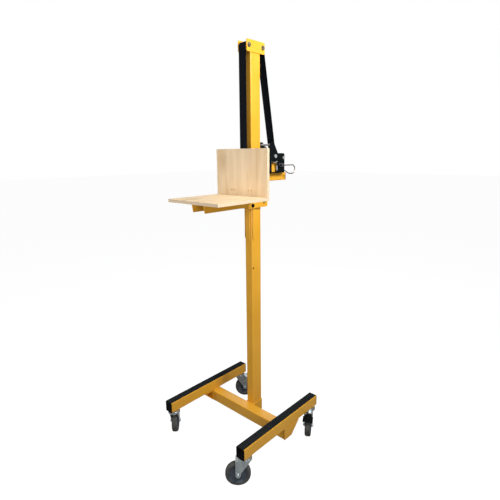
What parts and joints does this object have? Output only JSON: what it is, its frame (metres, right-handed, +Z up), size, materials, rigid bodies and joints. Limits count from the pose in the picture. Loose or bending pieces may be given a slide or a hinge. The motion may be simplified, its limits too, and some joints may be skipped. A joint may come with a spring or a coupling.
{
  "type": "mobile strap-winch board lift",
  "caption": "Mobile lift on an H-shaped caster base: a tall mast with a strap over two head rollers, a hand winch behind, and a sliding carriage with a plywood L-shaped platform.",
  "frame": {"origin": "on the floor, at the middle of the object's footprint box, in the mast's symmetry plane", "axes": "+Z up, -Y towards the platform's free edge, +X to the right of someone facing the platform from behind the mast"},
  "size_m": [0.706, 0.7574, 2.091],
  "materials": {
    "yellow_paint": "gloss powder coat",
    "black_plastic": "moulded black plastic",
    "grip_tape": "gritty anti-slip tape",
    "zinc": "bright zinc plate",
    "black_steel": "satin black paint",
    "grey_steel": "bare grey steel",
    "wire": "drawn steel wire",
    "webbing": "woven polyester strap",
    "plywood": "sanded birch plywood",
    "nylon": "natural nylon",
    "wheel_rubber": "grey rubber on a grey core"
  },
  "bodies": {
    "base": {"left_rail": "yellow_paint", "right_rail": "yellow_paint", "crossbeam": "yellow_paint", "left_end_plate": "yellow_paint", "right_end_plate": "yellow_paint", "left_grip_strip": "grip_tape", "right_grip_strip": "grip_tape", "tube_end_caps": "black_plastic", "mast_socket": "yellow_paint", "socket_bolts": "zinc", "mast": "yellow_paint", "left_head_plate": "yellow_paint", "right_head_plate": "yellow_paint", "head_axles": "zinc", "winch_bracket": "yellow_paint", "winch_post": "yellow_paint", "winch_frame": "black_steel", "winch_bolts": "zinc", "strap_rear_run": "webbing", "strap_front_run": "webbing", "caster_bolts": "zinc"},
    "carriage": {"slider_channel": "yellow_paint", "left_arm_plate": "yellow_paint", "right_arm_plate": "yellow_paint", "left_fork": "yellow_paint", "right_fork": "yellow_paint", "glide_pads": "nylon", "guide_axles": "zinc", "strap_anchor": "yellow_paint", "strap_eye": "webbing", "anchor_pin": "zinc", "platform_board": "plywood", "back_board": "plywood", "board_brackets": "yellow_paint", "board_screws": "zinc"},
    "left_guide_roller": {"left_guide_roller": "black_plastic"},
    "right_guide_roller": {"right_guide_roller": "black_plastic"},
    "front_head_roller": {"front_head_roller": "black_plastic"},
    "rear_head_roller": {"rear_head_roller": "black_plastic"},
    "drum": {"drum": "zinc", "strap_coil": "webbing", "ratchet_wheel": "zinc", "drum_gear": "zinc"},
    "crank": {"crank_shaft": "zinc", "pinion": "zinc", "crank_arm": "black_steel"},
    "crank_grip": {"crank_grip": "black_plastic"},
    "pawl": {"pawl": "grey_steel", "pull_loop": "wire"},
    "front_right_caster": {"front_right_fork": "zinc"},
    "front_right_wheel": {"front_right_wheel": "wheel_rubber"},
    "front_left_caster": {"front_left_fork": "zinc"},
    "front_left_wheel": {"front_left_wheel": "wheel_rubber"},
    "back_right_caster": {"back_right_fork": "zinc"},
    "back_right_wheel": {"back_right_wheel": "wheel_rubber"},
    "back_right_brake": {"back_right_brake": "black_steel"},
    "back_left_caster": {"back_left_fork": "zinc"},
    "back_left_wheel": {"back_left_wheel": "wheel_rubber"},
    "back_left_brake": {"back_left_brake": "black_steel"}
  },
  "joints": [
    {"name": "carriage_lift", "type": "slide", "parent": "base", "child": "carriage", "axis": [0, 0, 1], "range_m": [-0.96, 0.55], "deforming": ["strap_front_run"]},
    {"name": "left_guide_spin", "type": "hinge", "parent": "carriage", "child": "left_guide_roller", "pos_m": [-0.0213, 0.1094, 1.318], "axis": [1, 0, 0], "continuous": true},
    {"name": "right_guide_spin", "type": "hinge", "parent": "carriage", "child": "right_guide_roller", "pos_m": [0.0213, 0.1094, 1.318], "axis": [1, 0, 0], "continuous": true},
    {"name": "front_roller_spin", "type": "hinge", "parent": "base", "child": "front_head_roller", "pos_m": [0, 0.0135, 2.066], "axis": [1, 0, 0], "continuous": true},
    {"name": "rear_roller_spin", "type": "hinge", "parent": "base", "child": "rear_head_roller", "pos_m": [0, 0.1125, 2.066], "axis": [1, 0, 0], "continuous": true},
    {"name": "drum_spin", "type": "hinge", "parent": "base", "child": "drum", "pos_m": [0, 0.198, 1.551], "axis": [1, 0, 0], "continuous": true},
    {"name": "crank_spin", "type": "hinge", "parent": "base", "child": "crank", "pos_m": [0, 0.26854, 1.54296], "axis": [1, 0, 0], "continuous": true},
    {"name": "grip_spin", "type": "hinge", "parent": "crank", "child": "crank_grip", "pos_m": [-0.133, 0.26854, 1.39296], "axis": [1, 0, 0], "continuous": true},
    {"name": "pawl_release", "type": "hinge", "parent": "base", "child": "pawl", "pos_m": [0.031, 0.239, 1.505], "axis": [1, 0, 0], "range_deg": [0, 18], "stiffness_Nm_per_rad": 0.4, "springref_deg": -5.73},
    {"name": "front_right_swivel", "type": "hinge", "parent": "base", "child": "front_right_caster", "pos_m": [0.277, -0.311, 0.145], "axis": [0, 0, 1], "continuous": true},
    {"name": "front_right_roll", "type": "hinge", "parent": "front_right_caster", "child": "front_right_wheel", "pos_m": [0.2511, -0.33601, 0.0625], "axis": [0.6947, -0.7193, 0], "continuous": true},
    {"name": "front_left_swivel", "type": "hinge", "parent": "base", "child": "front_left_caster", "pos_m": [-0.277, -0.311, 0.145], "axis": [0, 0, 1], "continuous": true},
    {"name": "front_left_roll", "type": "hinge", "parent": "front_left_caster", "child": "front_left_wheel", "pos_m": [-0.3029, -0.28599, 0.0625], "axis": [-0.6947, -0.7193, 0], "continuous": true},
    {"name": "back_right_swivel", "type": "hinge", "parent": "base", "child": "back_right_caster", "pos_m": [0.277, 0.223, 0.145], "axis": [0, 0, 1], "continuous": true},
    {"name": "back_right_roll", "type": "hinge", "parent": "back_right_caster", "child": "back_right_wheel", "pos_m": [0.295, 0.19182, 0.0625], "axis": [0.866, 0.5, 0], "continuous": true},
    {"name": "back_right_brake_press", "type": "hinge", "parent": "back_right_caster", "child": "back_right_brake", "pos_m": [0.305, 0.1745, 0.133], "axis": [0.866, 0.5, 0], "range_deg": [0, 10]},
    {"name": "back_left_swivel", "type": "hinge", "parent": "base", "child": "back_left_caster", "pos_m": [-0.277, 0.223, 0.145], "axis": [0, 0, 1], "continuous": true},
    {"name": "back_left_roll", "type": "hinge", "parent": "back_left_caster", "child": "back_left_wheel", "pos_m": [-0.2511, 0.24801, 0.0625], "axis": [-0.6947, 0.7193, 0], "continuous": true},
    {"name": "back_left_brake_press", "type": "hinge", "parent": "back_left_caster", "child": "back_left_brake", "pos_m": [-0.23672, 0.2619, 0.133], "axis": [-0.6947, 0.7193, 0], "range_deg": [0, 10]}
  ],
  "couplings": [
    {"joint": "left_guide_spin", "follows": "carriage_lift", "rad_per_m": 90.909},
    {"joint": "right_guide_spin", "follows": "carriage_lift", "rad_per_m": 90.909},
    {"joint": "front_roller_spin", "follows": "carriage_lift", "rad_per_m": -64.935},
    {"joint": "rear_roller_spin", "follows": "carriage_lift", "rad_per_m": -64.935},
    {"joint": "drum_spin", "follows": "carriage_lift", "rad_per_m": -38.61},
    {"joint": "crank_spin", "follows": "carriage_lift", "rad_per_m": 157.2}
  ]
}
